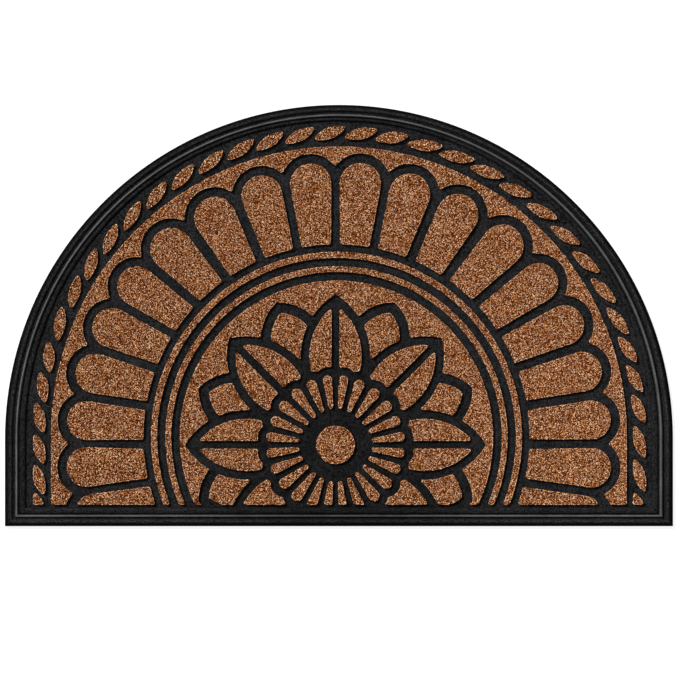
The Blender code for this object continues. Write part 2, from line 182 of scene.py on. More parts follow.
def socket(sockets, key):
    """A node's socket by number, or by the name that is in use for the node's data type."""
    if isinstance(key, int):
        return sockets[key]
    return next(each for each in sockets if each.name == key and each.enabled)


def add_node(tree, kind, settings=None, values=None, links=None):
    """A new node with its settings, its inputs' values, and what its inputs are linked to."""
    node = tree.nodes.new(kind)
    for name, value in (settings or {}).items():
        setattr(node, name, value)
    for name, value in (values or {}).items():
        socket(node.inputs, name).default_value = value
    for name, source in (links or {}).items():
        tree.links.new(source, socket(node.inputs, name))
    return node


def new_material(name):
    """A material with a Principled shader, its node tree and that shader."""
    material = bpy.data.materials.new(name)
    material.use_nodes = True
    tree = material.node_tree
    return material, tree, tree.nodes["Principled BSDF"]


def colour_stops(ramp, stops):
    """Sets a colour ramp's stops from positions and sRGB hex colours."""
    while len(ramp.elements) > 1:
        ramp.elements.remove(ramp.elements[-1])
    for number, (position, colour) in enumerate(stops):
        stop = ramp.elements[0] if number == 0 else ramp.elements.new(position)
        stop.position = position
        stop.color = (*linear(colour), 1)


# Materials


# The light-and-wear value runs from 0, deepest painted shade in the grooves and on the outer walls, over
# the floor's, to 1, the ridge's grey: wear with a painted highlight
FLOOR_LEVEL = 0.4

# Sizes of the rubber's patterns. Its grain and strokes are as coarse as they need to be to show.
DUST_PATCH = 20 * MM
MOULD_GRAIN = 1.6 * MM
STROKE_PITCH = 1.3 * MM
STROKE_LENGTH = 12 * MM
RELIEF_DEPTH = 0.25 * MM

# How dark and how light the dust's patches and the grain's pores make the rubber
DUST_SHADES = (0.75, 1.25)
PORE_SHADES = (0.1, 1.9)

# Up to the first distance from the flower's middle the rubber is darker, by the share given, and past
# the second it is as light as anywhere
FLOWER_DARK_NEAR = 70 * MM
FLOWER_DARK_FAR = 210 * MM
FLOWER_DARK_SHARE = 0.62


def moulded_rubber(settings):
    """Compression-moulded crumb rubber: matt black, with the leathery grain of its mould, painted shade in
    its grooves and a painted highlight on its ridge.
    """
    material, tree, shader = new_material("moulded_black_rubber")
    place = add_node(tree, "ShaderNodeTexCoord").outputs["Object"]
    painted_light_and_wear_level = add_node(tree, "ShaderNodeAttribute", {"attribute_name": "painted_light_and_wear"}).outputs["Fac"]
    path = add_node(tree, "ShaderNodeUVMap", {"uv_map": "rim_path"}).outputs["UV"]

    # Grooves and outer walls get a painted shade, the floor is a little greyer, and the ridge is grey from
    # wear with a painted highlight
    groove_shade_fade = add_node(
        tree, "ShaderNodeMapRange", {"data_type": "FLOAT"}, {"From Min": 0, "From Max": FLOOR_LEVEL},
        {"Value": painted_light_and_wear_level},
    ).outputs["Result"]
    wear_and_highlight = add_node(
        tree, "ShaderNodeMapRange", {"data_type": "FLOAT"}, {"From Min": FLOOR_LEVEL, "From Max": 1},
        {"Value": painted_light_and_wear_level},
    ).outputs["Result"]
    shade_and_floor = add_node(
        tree, "ShaderNodeMix", {"data_type": "RGBA"},
        {"A": (*settings.groove_shade_colour, 1), "B": (*settings.floor_colour, 1)}, {"Factor": groove_shade_fade},
    )
    plain = add_node(
        tree, "ShaderNodeMix", {"data_type": "RGBA"}, {"B": (*settings.worn_highlight_colour, 1)},
        {"Factor": wear_and_highlight, "A": socket(shade_and_floor.outputs, "Result")},
    )

    # Cloudy patches, a little lighter where dust has stayed, and darker round the flower's middle
    clouds = add_node(
        tree, "ShaderNodeTexNoise", values={"Scale": 1 / DUST_PATCH, "Detail": 4, "Roughness": 0.6},
        links={"Vector": place},
    ).outputs["Fac"]
    dust = add_node(
        tree, "ShaderNodeMapRange",
        values={"From Min": 0.3, "From Max": 0.7, "To Min": DUST_SHADES[0], "To Max": DUST_SHADES[1]},
        links={"Value": clouds},
    ).outputs["Result"]
    from_flower = add_node(
        tree, "ShaderNodeVectorMath", {"operation": "DISTANCE"}, {1: FLOWER_MIDDLE}, {0: place}
    ).outputs["Value"]
    flower_darkening = add_node(
        tree, "ShaderNodeMapRange", {"interpolation_type": "SMOOTHSTEP"},
        {"From Min": FLOWER_DARK_NEAR, "From Max": FLOWER_DARK_FAR, "To Min": FLOWER_DARK_SHARE, "To Max": 1.0},
        {"Value": from_flower},
    ).outputs["Result"]
    dust_and_flower_darkening = add_node(
        tree, "ShaderNodeMath", {"operation": "MULTIPLY"}, links={0: dust, 1: flower_darkening}
    ).outputs["Value"]

    # The mould's grain shows as darker pores, but not on the ridge, worn smooth and grey with a painted
    # highlight
    leather = add_node(
        tree, "ShaderNodeTexNoise", values={"Scale": 1 / MOULD_GRAIN, "Detail": 3, "Roughness": 0.55},
        links={"Vector": place},
    ).outputs["Fac"]
    pores = add_node(
        tree, "ShaderNodeMapRange",
        values={"From Min": 0.4, "From Max": 0.6, "To Min": PORE_SHADES[0], "To Max": PORE_SHADES[1]},
        links={"Value": leather},
    ).outputs["Result"]
    off_ridge = add_node(
        tree, "ShaderNodeMath", {"operation": "SUBTRACT"}, {0: 1.0}, {1: wear_and_highlight}
    ).outputs["Value"]
    pored = add_node(
        tree, "ShaderNodeMix", {"data_type": "FLOAT"}, {"A": 1.0}, {"Factor": off_ridge, "B": pores}
    )
    shade = add_node(
        tree, "ShaderNodeMath", {"operation": "MULTIPLY"},
        links={0: dust_and_flower_darkening, 1: socket(pored.outputs, "Result")},
    ).outputs["Value"]
    surface = add_node(
        tree, "ShaderNodeMix", {"data_type": "RGBA", "blend_type": "MULTIPLY"}, {"Factor": 1.0},
        {"A": socket(plain.outputs, "Result"), "B": shade},
    )
    tree.links.new(socket(surface.outputs, "Result"), shader.inputs["Base Color"])

    # Rubbed rubber is a little smoother
    roughness = add_node(
        tree, "ShaderNodeMapRange", values={"To Min": 0.9, "To Max": 0.5}, links={"Value": painted_light_and_wear_level}
    ).outputs["Result"]
    tree.links.new(roughness, shader.inputs["Roughness"])
    shader.inputs["Specular IOR Level"].default_value = 0.03

    # The grain stands up a little, and fine strokes of the mould run across the rim
    strokes_place = add_node(
        tree, "ShaderNodeMapping", values={"Scale": (1 / STROKE_PITCH, 1 / STROKE_LENGTH, 1)},
        links={"Vector": path},
    ).outputs["Vector"]
    strokes = add_node(
        tree, "ShaderNodeTexNoise", values={"Scale": 1, "Detail": 2, "Roughness": 0.5},
        links={"Vector": strokes_place},
    ).outputs["Fac"]
    relief = add_node(
        tree, "ShaderNodeMath", {"operation": "ADD"}, links={0: leather, 1: strokes}
    ).outputs["Value"]
    bump = add_node(
        tree, "ShaderNodeBump", values={"Strength": 0.5, "Distance": RELIEF_DEPTH},
        links={"Height": relief},
    )
    tree.links.new(bump.outputs["Normal"], shader.inputs["Normal"])
    return material


# Heathered yarn: its colours from the darkest loops to the palest, each with the share of loops that
# are darker. Rusty and greyish browns take turns.
YARN_COLOURS = (
    (0.00, "#3e1602"),
    (0.12, "#5c2e12"),
    (0.24, "#8c480e"),
    (0.36, "#98684e"),
    (0.48, "#c88038"),
    (0.60, "#be9678"),
    (0.72, "#eca866"),
    (0.84, "#ecc2a0"),
    (1.00, "#ffecc8"),
)

# Painted shade of the feet, for red, green and blue. A yarn has its own colour up to the first share of
# its length from the middle, and the whole painted shade at the second, its foot.
FOOT_SHADE = (0.62, 0.45, 0.31, 1)
SHOULDER_AT = 0.15
FOOT_AT = 0.5


def crinkled_pile():
    """Heat-crimped polypropylene yarn: dull, heathered, with painted shade down towards the loops' feet."""
    material, tree, shader = new_material("crinkled_brown_pile")
    place = add_node(tree, "ShaderNodeUVMap", {"uv_map": BAKE_MAP}).outputs["UV"]
    parts = add_node(tree, "ShaderNodeSeparateXYZ", links={"Vector": place})
    yarn = add_node(tree, "ShaderNodeValToRGB", links={"Fac": parts.outputs["X"]})
    colour_stops(yarn.color_ramp, YARN_COLOURS)

    # X of the map is a loop's tone, and Y runs along it from foot to foot. The feet get a painted
    # shade, darker and redder, as light that reaches them would have met more dyed yarn.
    off_middle = add_node(
        tree, "ShaderNodeMath", {"operation": "SUBTRACT"}, {1: 0.5}, {0: parts.outputs["Y"]}
    ).outputs["Value"]
    to_foot = add_node(
        tree, "ShaderNodeMath", {"operation": "ABSOLUTE"}, links={0: off_middle}
    ).outputs["Value"]
    # Share of the feet's painted shade: none up to the shoulder, whole at the foot
    low = add_node(
        tree, "ShaderNodeMapRange",
        {"interpolation_type": "SMOOTHSTEP"}, {"From Min": SHOULDER_AT, "From Max": FOOT_AT},
        {"Value": to_foot},
    ).outputs["Result"]
    shaded = add_node(
        tree, "ShaderNodeMix", {"data_type": "RGBA", "blend_type": "MULTIPLY"},
        {"B": FOOT_SHADE}, {"Factor": low, "A": yarn.outputs["Color"]},
    )
    tree.links.new(socket(shaded.outputs, "Result"), shader.inputs["Base Color"])
    shader.inputs["Roughness"].default_value = 0.85
    shader.inputs["Specular IOR Level"].default_value = 0.02
    return material


def paper_sweep():
    """White studio paper, lit a little from below as on a light table."""
    material, tree, shader = new_material("white_paper_sweep")
    shader.inputs["Base Color"].default_value = (*linear("#808080"), 1)
    shader.inputs["Roughness"].default_value = 0.9
    shader.inputs["Specular IOR Level"].default_value = 0.1
    shader.inputs["Emission Color"].default_value = (1, 1, 1, 1)
    shader.inputs["Emission Strength"].default_value = 0.85
    return material


# Pieces


def finish_piece(piece, slot, *nodes):
    """Puts a finished piece on the mat: it rides on the root body and stands for CAD nodes."""
    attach(piece, "root")
    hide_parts(*nodes)
    return piece


def new_piece(name, mesh):
    """An object with this mesh, at the origin."""
    piece = bpy.data.objects.new(name, mesh)
    bpy.context.scene.collection.objects.link(piece)
    return piece


# Rim section in mm, from the outer edge inwards: how far in it lies at the upright sides, at the
# crown of the arc and at the straight edge, how high it stands, and its light and wear: low in the
# painted shade of grooves, outer walls and the inner step's foot, high on the ridge's wear and painted
# highlight
RIM_SECTION = (
    # side, crown, foot, height, light and wear
    (0.0, 0.0, 0.0, 3.2, 0.0),
    (1.4, 1.3, 1.2, 5.4, 0.0),
    (3.6, 3.1, 3.2, 6.5, 0.12),
    (6.0, 4.6, 5.4, 6.8, 0.46),
    (8.2, 7.1, 7.7, 6.2, 0.35),
    (10.1, 8.7, 9.2, 4.9, 0.2),
    (11.8, 10.4, 10.1, 6.4, 0.3),
    (13.2, 11.7, 11.2, 7.3, 1.0),
    (14.3, 12.6, 12.1, 7.2, 0.9),
    (16.5, 14.2, 13.7, 4.9, 0.15),
    (17.7, 15.2, 15.0, 5.9, 0.3),
    (21.9, 17.2, 19.2, 5.9, 0.4),
    (23.8, 18.5, 20.9, 4.2, 0.2),
)
SECTION_STEPS = 4
FLOOR_MARGIN = 2.0

# Width that each row of faces across the rim has in the map of its strokes
ROW_WIDTH = 0.5 * MM


def between(before, start, end, after, t):
    """The point at share t from start to end on a smooth curve through four points in a row."""
    slope = end - before
    bend = 2 * before - 5 * start + 4 * end - after
    turn = 3 * start - before - 3 * end + after
    return 0.5 * (2 * start + slope * t + bend * t**2 + turn * t**3)


def smooth_section():
    """The rim's section with a smooth curve through its rows, then the start of the floor."""
    rows = [RIM_SECTION[0], *RIM_SECTION, RIM_SECTION[-1]]
    section = []
    for four in zip(rows, rows[1:], rows[2:], rows[3:]):
        for step in range(SECTION_STEPS):
            section.append([between(*values, step / SECTION_STEPS) for values in zip(*four)])
    side, crown, foot, height, painted_light_and_wear = RIM_SECTION[-1]
    section.append([side, crown, foot, height, painted_light_and_wear])
    section.append([side + FLOOR_MARGIN, crown + FLOOR_MARGIN, foot + FLOOR_MARGIN, height, FLOOR_LEVEL])
    return section


def rim_line(side, crown, foot, step):
    """The plate's outline, drawn in at its sides, its crown and its straight edge.

    Returns its points, anticlockwise from the lower right corner, and the corners' numbers.
    """
    half = PLATE_HIGH.x
    radius = half - side * MM
    centre = PLATE_HIGH.y - crown * MM - radius
    edge = PLATE_LOW.y + foot * MM
    round_steps = round(math.pi * half / step)
    side_steps = round((PLATE_HIGH.y - half - PLATE_LOW.y) / step)
    edge_steps = round(2 * half / step)
    points = [(radius, edge + (centre - edge) * n / side_steps) for n in range(side_steps)]
    for number in range(round_steps):
        turn = math.pi * number / round_steps
        points.append((radius * math.cos(turn), centre + radius * math.sin(turn)))
    points += [(-radius, centre + (edge - centre) * n / side_steps) for n in range(side_steps)]
    corner = len(points)
    points += [(-radius + 2 * radius * n / edge_steps, edge) for n in range(edge_steps)]
    return points, (0, corner)


def moulded_plate(settings):
    """The rubber plate: lofted from its rim's section, flat below and on its floor."""
    shape = bmesh.new()
    # Each row's light-and-wear value paints shade into grooves and walls and a highlight onto the ridge
    painted_light_and_wear = shape.verts.layers.float.new("painted_light_and_wear")
    path = shape.loops.layers.uv.new("rim_path")
    section = smooth_section()
    loops = []
    for side, crown, foot, height, painted_light_and_wear_level in [(0, 0, 0, 0, 0), *section]:
        points, corners = rim_line(side, crown, foot, settings.step)
        loop = [shape.verts.new((x, y, height * MM)) for x, y in points]
        for vert in loop:
            vert[painted_light_and_wear] = painted_light_and_wear_level
        loops.append(loop)
    count = len(loops[0])
    for row, (lower, upper) in enumerate(zip(loops, loops[1:])):
        for place in range(count):
            following = (place + 1) % count
            corners_round = (lower[place], lower[following], upper[following], upper[place])
            face = shape.faces.new(corners_round)
            face.smooth = True
            along = (place, place + 1, place + 1, place)
            across = (row, row, row + 1, row + 1)
            for corner, u, v in zip(face.loops, along, across):
                corner[path].uv = (u * settings.step, v * ROW_WIDTH)
    shape.faces.new(loops[0][::-1])
    shape.faces.new(loops[-1])
    for lower, upper in zip(loops, loops[1:]):
        for place in corners:
            shape.edges.get((lower[place], upper[place])).smooth = False
    for loop in loops[:2]:
        for place in range(count):
            shape.edges.get((loop[place], loop[(place + 1) % count])).smooth = False
    mesh = bpy.data.meshes.new("moulded_plate")
    shape.to_mesh(mesh)
    shape.free()
    return mesh


# Kinds of loop, in mm: its length and thickness, then where along it each shoulder is, how far
# that bends sideways and how high it stands above the bed. The yarn's fibres are far finer, and a
# loop is as coarse as it needs to be to show.
LOOP_KINDS = (
    (1.8, 0.9, ((0.28, 0.2, 0.9), (0.74, -0.2, 0.8))),
    (1.5, 1.1, ((0.50, 0.3, 1.0),)),
    (1.4, 1.0, ((0.45, -0.2, 1.2),)),
    (1.6, 1.0, ((0.50, 0.3, 0.8),)),
    (1.5, 1.1, ((0.60, 0.1, 0.6),)),
    (1.8, 0.9, ((0.30, 0.3, 0.6), (0.72, 0.2, 1.0))),
    (1.4, 1.2, ((0.40, 0.2, 1.2),)),
    (1.6, 1.0, ((0.55, -0.3, 0.9),)),
)
FOOT_SINK = 0.2

# A yarn's height is this share of its thickness
YARN_FLATNESS = 0.6

# Half the width of a loop in the map, so that its faces aren't flat there
TONE_SPREAD = 0.008


def loop_mesh(name, kind, size):
    """One crinkled loop of yarn, three-sided, from foot to foot along X."""
    length, thickness, shoulders = kind
    shape = bmesh.new()
    bake = shape.loops.layers.uv.new(BAKE_MAP)
    spots = {}

    def point(x, y, z, side, along):
        vert = shape.verts.new(Vector((x, y, z)) * size * MM)
        spots[vert] = (side * TONE_SPREAD, along)
        return vert

    start = point(-length / 2, 0, -FOOT_SINK, 0, 0)
    end = point(length / 2, 0, -FOOT_SINK, 0, 1)
    rings = []
    for along, bend, height in shoulders:
        ring = []
        for side, turn in ((0, 90), (-1, 210), (1, 330)):
            y = bend + thickness / 2 * math.cos(math.radians(turn))
            z = height + thickness * YARN_FLATNESS / 2 * (math.sin(math.radians(turn)) - 1)
            ring.append(point((along - 0.5) * length, y, z, side, along))
        rings.append(ring)
    for number in range(3):
        following = (number + 1) % 3
        shape.faces.new((start, rings[0][following], rings[0][number]))
        for near, far in zip(rings, rings[1:]):
            shape.faces.new((near[number], near[following], far[following], far[number]))
        shape.faces.new((end, rings[-1][number], rings[-1][following]))
    for face in shape.faces:
        face.smooth = True
        for corner in face.loops:
            corner[bake].uv = spots[corner.vert]
    bmesh.ops.recalc_face_normals(shape, faces=shape.faces)
    mesh = bpy.data.meshes.new(name)
    shape.to_mesh(mesh)
    shape.free()
    return mesh


def loop_collection(settings):
    """A collection, outside the scene, that holds one loop of each kind."""
    kinds = bpy.data.collections.new("yarn_loops")
    for number, kind in enumerate(LOOP_KINDS):
        name = f"yarn_loop_{number}"
        mesh = loop_mesh(name, kind, settings.yarn_size)
        kinds.objects.link(bpy.data.objects.new(name, mesh))
    return kinds


def remove_loops(kinds):
    """Deletes the collection of loops with its objects and meshes."""
    for each in list(kinds.objects):
        mesh = each.data
        bpy.data.objects.remove(each)
        bpy.data.meshes.remove(mesh)
    bpy.data.collections.remove(kinds)


# The bed's top is where its normal points up by more than this
TOP_NORMAL = 0.9

# How much loops differ: their size, their tilt in radians, the swing of those in a row, their tone
SIZE_RANGE = (0.75, 1.25)
TILT = 0.3
ROW_SWING = Vector((0.3, 0.2, 0.45))
TONE_RANGE = (0.02, 0.98)

# More points than the spacing lets stand, for each square metre
TRIED_POINTS = 4.0 / MM**2


def pile_tree(pile):
    """Geometry Nodes that stand crinkled loops on a bed, each with its own tone."""
    tree = bpy.data.node_groups.new("Crinkled pile", "GeometryNodeTree")
    for name, kind in (
        ("Geometry", "NodeSocketGeometry"),
        ("Loops", "NodeSocketCollection"),
        ("Spacing", "NodeSocketFloat"),
        ("Edge", "NodeSocketFloat"),
        ("Edge spacing", "NodeSocketFloat"),
        ("Seed", "NodeSocketInt"),
    ):
        tree.interface.new_socket(name, in_out="INPUT", socket_type=kind)
    tree.interface.new_socket("Geometry", in_out="OUTPUT", socket_type="NodeSocketGeometry")
    given = add_node(tree, "NodeGroupInput").outputs

    # Loops stand on the bed's top, and none closer to its walls than the edge setting says
    normal = add_node(tree, "GeometryNodeInputNormal").outputs["Normal"]
    up = add_node(tree, "ShaderNodeSeparateXYZ", links={"Vector": normal}).outputs["Z"]
    on_top = add_node(
        tree, "FunctionNodeCompare", {"operation": "GREATER_THAN"}, {"B": TOP_NORMAL}, {"A": up}
    ).outputs["Result"]
    parts = add_node(
        tree, "GeometryNodeSeparateGeometry", {"domain": "FACE"},
        links={"Geometry": given["Geometry"], "Selection": on_top},
    )
    spread = add_node(
        tree, "GeometryNodeDistributePointsOnFaces", {"distribute_method": "POISSON"},
        {"Density Max": TRIED_POINTS},
        {"Mesh": parts.outputs["Selection"], "Distance Min": given["Spacing"], "Seed": given["Seed"]},
    )
    to_wall = add_node(
        tree, "GeometryNodeProximity", {"target_element": "FACES"},
        links={"Geometry": parts.outputs["Inverted"]},
    ).outputs["Distance"]
    too_near = add_node(
        tree, "FunctionNodeCompare", {"operation": "LESS_THAN"}, links={"A": to_wall, "B": given["Edge"]}
    ).outputs["Result"]
    spots = add_node(
        tree, "GeometryNodeDeleteGeometry", {"domain": "POINT"},
        links={"Geometry": spread.outputs["Points"], "Selection": too_near},
    ).outputs["Geometry"]

    # Each loop is one of the kinds, turned any way, a little tilted, and larger or smaller
    kinds = add_node(
        tree, "GeometryNodeCollectionInfo", values={"Separate Children": True, "Reset Children": True},
        links={"Collection": given["Loops"]},
    ).outputs["Instances"]
    kind = add_node(
        tree, "FunctionNodeRandomValue", {"data_type": "INT"},
        {"Min": 0, "Max": len(LOOP_KINDS) - 1, "Seed": 1},
    )
    size = add_node(
        tree, "FunctionNodeRandomValue", {"data_type": "FLOAT"},
        {"Min": SIZE_RANGE[0], "Max": SIZE_RANGE[1], "Seed": 3},
    )
    turn = add_node(
        tree, "FunctionNodeRandomValue", {"data_type": "FLOAT_VECTOR"},
        {"Min": (-TILT, -TILT, 0), "Max": (TILT, TILT, 2 * math.pi), "Seed": 2},
    )
    turned = add_node(
        tree, "FunctionNodeEulerToRotation", links={"Euler": socket(turn.outputs, "Value")}
    )
    loose = add_node(
        tree, "GeometryNodeInstanceOnPoints", values={"Pick Instance": True},
        links={
            "Points": spots, "Instance": kinds, "Instance Index": socket(kind.outputs, "Value"),
            "Rotation": turned.outputs["Rotation"], "Scale": socket(size.outputs, "Value"),
        },
    )

    # A row of loops lies along the bed's edge, none of them quite straight
    beside = add_node(tree, "GeometryNodeInputMeshEdgeNeighbors").outputs["Face Count"]
    on_edge = add_node(
        tree, "FunctionNodeCompare", {"data_type": "INT", "operation": "EQUAL"}, {"B": 1}, {"A": beside}
    ).outputs["Result"]
    edges = add_node(
        tree, "GeometryNodeMeshToCurve", links={"Mesh": parts.outputs["Selection"], "Selection": on_edge}
    ).outputs["Curve"]
    row = add_node(
        tree, "GeometryNodeResampleCurve", {"mode": "LENGTH"},
        links={"Curve": edges, "Length": given["Edge spacing"]},
    ).outputs["Curve"]
    tangent = add_node(tree, "GeometryNodeInputTangent").outputs["Tangent"]
    along = add_node(
        tree, "FunctionNodeAlignRotationToVector", {"axis": "X"}, links={"Vector": tangent}
    ).outputs["Rotation"]
    swing = add_node(
        tree, "FunctionNodeRandomValue", {"data_type": "FLOAT_VECTOR"},
        {"Min": -ROW_SWING, "Max": ROW_SWING, "Seed": 6},
    )
    swung = add_node(
        tree, "FunctionNodeEulerToRotation", links={"Euler": socket(swing.outputs, "Value")}
    )
    bent = add_node(
        tree, "FunctionNodeRotateRotation", {"rotation_space": "LOCAL"},
        links={"Rotation": along, "Rotate By": swung.outputs["Rotation"]},
    )
    lined_up = add_node(
        tree, "GeometryNodeInstanceOnPoints", values={"Pick Instance": True},
        links={
            "Points": row, "Instance": kinds, "Instance Index": socket(kind.outputs, "Value"),
            "Rotation": bent.outputs["Rotation"], "Scale": socket(size.outputs, "Value"),
        },
    )
    standing = add_node(tree, "GeometryNodeJoinGeometry")
    tree.links.new(loose.outputs["Instances"], standing.inputs["Geometry"])
    tree.links.new(lined_up.outputs["Instances"], standing.inputs["Geometry"])

    # Tone from 0, darkest, to 1, palest: any yarn next to any other. It is drawn by number, because
    # the loops in a row have no id of their own.
    number = add_node(tree, "GeometryNodeInputIndex").outputs["Index"]
    tone = add_node(
        tree, "FunctionNodeRandomValue", {"data_type": "FLOAT"},
        {"Min": TONE_RANGE[0], "Max": TONE_RANGE[1], "Seed": 5}, {"ID": number},
    )
    toned = add_node(
        tree, "GeometryNodeStoreNamedAttribute", {"data_type": "FLOAT", "domain": "INSTANCE"},
        {"Name": "tone"},
        {"Geometry": standing.outputs["Geometry"], "Value": socket(tone.outputs, "Value")},
    )
    whole = add_node(
        tree, "GeometryNodeRealizeInstances", links={"Geometry": toned.outputs["Geometry"]}
    )

    # A loop's tone moves it along X in the map, where its colour is looked up
    spot = add_node(
        tree, "GeometryNodeInputNamedAttribute", {"data_type": "FLOAT_VECTOR"}, {"Name": BAKE_MAP}
    )
    own_tone = add_node(
        tree, "GeometryNodeInputNamedAttribute", {"data_type": "FLOAT"}, {"Name": "tone"}
    )
    across = add_node(
        tree, "ShaderNodeCombineXYZ", links={"X": socket(own_tone.outputs, "Attribute")}
    )
    moved = add_node(
        tree, "ShaderNodeVectorMath", {"operation": "ADD"},
        links={0: socket(spot.outputs, "Attribute"), 1: across.outputs["Vector"]},
    )
    mapped = add_node(
        tree, "GeometryNodeStoreNamedAttribute", {"data_type": "FLOAT2", "domain": "CORNER"},
        {"Name": BAKE_MAP},
        {"Geometry": whole.outputs["Geometry"], "Value": moved.outputs["Vector"]},
    )
    both = add_node(tree, "GeometryNodeJoinGeometry")
    tree.links.new(given["Geometry"], both.inputs["Geometry"])
    tree.links.new(mapped.outputs["Geometry"], both.inputs["Geometry"])
    dressed = add_node(
        tree, "GeometryNodeSetMaterial", values={"Material": pile},
        links={"Geometry": both.outputs["Geometry"]},
    )
    add_node(tree, "NodeGroupOutput", links={"Geometry": dressed.outputs["Geometry"]})
    return tree


# Points of a CAD mesh that are this near are one, and faces this near a pad's height are its top
SAME_POINT = 0.001 * MM
TOP_SLACK = 0.01 * MM


def pad_outlines(node):
    """The outlines of a pad's top, each a row of points with the pad on its left."""
    shape = bmesh.new()
    shape.from_mesh(frame["nodes"][node].data)
    bmesh.ops.remove_doubles(shape, verts=shape.verts, dist=SAME_POINT)
    shape.normal_update()
    low = PAD_HIGH.z - TOP_SLACK
    top = [face for face in shape.faces if min(vert.co.z for vert in face.verts) > low]
    edges = {}
    inside = set(top)
    for face in top:
        for corner in face.loops:
            if sum(other in inside for other in corner.edge.link_faces) == 1:
                edges[corner.vert] = corner.link_loop_next.vert
    outlines = []
    while edges:
        start, following = edges.popitem()
        outline = [start.co.xy]
        while following is not start:
            outline.append(following.co.xy)
            following = edges.pop(following)
        outlines.append(outline)
    shape.free()
    return outlines


OUTLINE_STEP = 0.7 * MM

# A point that was moved inwards stays if this share of the way in is left between it and the sides
CLEAR_SHARE = 0.9


def drawn_in(outlines, depth):
    """The outlines moved towards the pad's inside, without the points that come too near a side."""
    dense = []
    for outline in outlines:
        points = []
        for start, end in zip(outline, outline[1:] + outline[:1]):
            steps = max(1, math.ceil((end - start).length / OUTLINE_STEP))
            points += [start.lerp(end, step / steps) for step in range(steps)]
        dense.append(points)
    sides = kdtree.KDTree(sum(len(points) for points in dense))
    for number, (x, y) in enumerate(point for points in dense for point in points):
        sides.insert((x, y, 0), number)
    sides.balance()
    inner = []
    for points in dense:
        moved = []
        for before, point, after in zip(points[-1:] + points[:-1], points, points[1:] + points[:1]):
            along = (after - before).normalized()
            place = point + Vector((-along.y, along.x)) * depth
            if sides.find((*place, 0))[2] > CLEAR_SHARE * depth:
                moved.append(place)
        if len(moved) > 2:
            inner.append(moved)
    return inner


# The bed shows as dark gaps between the loops: a painted shade, from its dark tone and the feet's
# painted shade. Its place in the map is near a dark yarn's foot, and moves a little with X and Y, so
# that no face is flat in the map.
BED_SHADE_TONE = 0.07
BED_ALONG = 0.1
BED_DRIFT = 0.1

# On the bed's walls each face is one upright yarn, from its foot to its shoulder, in the feet's painted
# shade, a little less at the shoulder. Their tones are dark ones, a painted shade on the pile's sides,
# and follow each other in golden steps, so that no two neighbours are alike.
YARN_FOOT = 0.02
YARN_SHOULDER = 0.12
YARN_WIDTH = 0.02
WALL_TONES = 0.4
GOLDEN_STEP = 0.618

# How far the bed reaches below the pad's solid, down to the rubber floor
BED_SINK = 0.35 * MM


def pad_bed(node, settings):
    """A pad's bed, drawn in from the pad's outline: upright walls, a top and an underside."""
    foot = PAD_LOW.z - BED_SINK
    top = PAD_HIGH.z - settings.bed_drop
    shape = bmesh.new()
    bake = shape.loops.layers.uv.new(BAKE_MAP)
    tops = []
    feet = []
    walls = set()
    for outline in drawn_in(pad_outlines(node), settings.inset):
        lower = [shape.verts.new((*point, foot)) for point in outline]
        upper = [shape.verts.new((*point, top)) for point in outline]
        for number in range(len(outline)):
            following = (number + 1) % len(outline)
            wall = shape.faces.new((lower[number], lower[following], upper[following], upper[number]))
            # Walls take dark tones only: a painted shade on the pile's sides
            left = WALL_TONES * (number * GOLDEN_STEP % 1)
            right = left + YARN_WIDTH
            across = (left, right, right, left)
            along = (YARN_FOOT, YARN_FOOT, YARN_SHOULDER, YARN_SHOULDER)
            for corner, *place in zip(wall.loops, across, along):
                corner[bake].uv = place
            walls.add(wall)
            tops.append(shape.edges.get((upper[number], upper[following])))
            feet.append(shape.edges.get((lower[number], lower[following])))
    bmesh.ops.triangle_fill(shape, use_beauty=True, use_dissolve=False, edges=tops, normal=(0, 0, 1))
    bmesh.ops.triangle_fill(shape, use_beauty=True, use_dissolve=False, edges=feet, normal=(0, 0, -1))
    bmesh.ops.recalc_face_normals(shape, faces=shape.faces)
    # The bed's top and underside take a dark tone with the feet's painted shade
    for face in set(shape.faces) - walls:
        for corner in face.loops:
            x, y, _ = corner.vert.co
            corner[bake].uv = (BED_SHADE_TONE + BED_DRIFT * x, BED_ALONG + BED_DRIFT * y)
    mesh = bpy.data.meshes.new("bed_" + node)
    shape.to_mesh(mesh)
    shape.free()
    return mesh


def pile_pads(nodes, settings):
    """A piece of pile for each of these CAD nodes."""
    pile = bpy.data.materials.get("crinkled_brown_pile") or crinkled_pile()
    tree = bpy.data.node_groups.get("Crinkled pile") or pile_tree(pile)
    inputs = {item.name: item.identifier for item in tree.interface.items_tree if item.in_out == "INPUT"}
    kinds = loop_collection(settings)
    for number, node in enumerate(nodes):
        piece = new_piece("pile_" + node, pad_bed(node, settings))
        growth = piece.modifiers.new("Pile", "NODES")
        growth.node_group = tree
        growth[inputs["Loops"]] = kinds
        growth[inputs["Spacing"]] = settings.spacing
        growth[inputs["Edge"]] = settings.edge
        growth[inputs["Edge spacing"]] = settings.edge_spacing
        growth[inputs["Seed"]] = settings.seed + number
        bpy.context.view_layer.update()
        graph = bpy.context.evaluated_depsgraph_get()
        whole = bpy.data.meshes.new_from_object(
            piece.evaluated_get(graph), preserve_all_data_layers=True, depsgraph=graph
        )
        bed = piece.data
        piece.modifiers.clear()
        piece.data = whole
        bpy.data.meshes.remove(bed)
        if "tone" in whole.attributes:
            whole.attributes.remove(whole.attributes["tone"])
        finish_piece(piece, "brown_pile", node)
    remove_loops(kinds)


# Operators


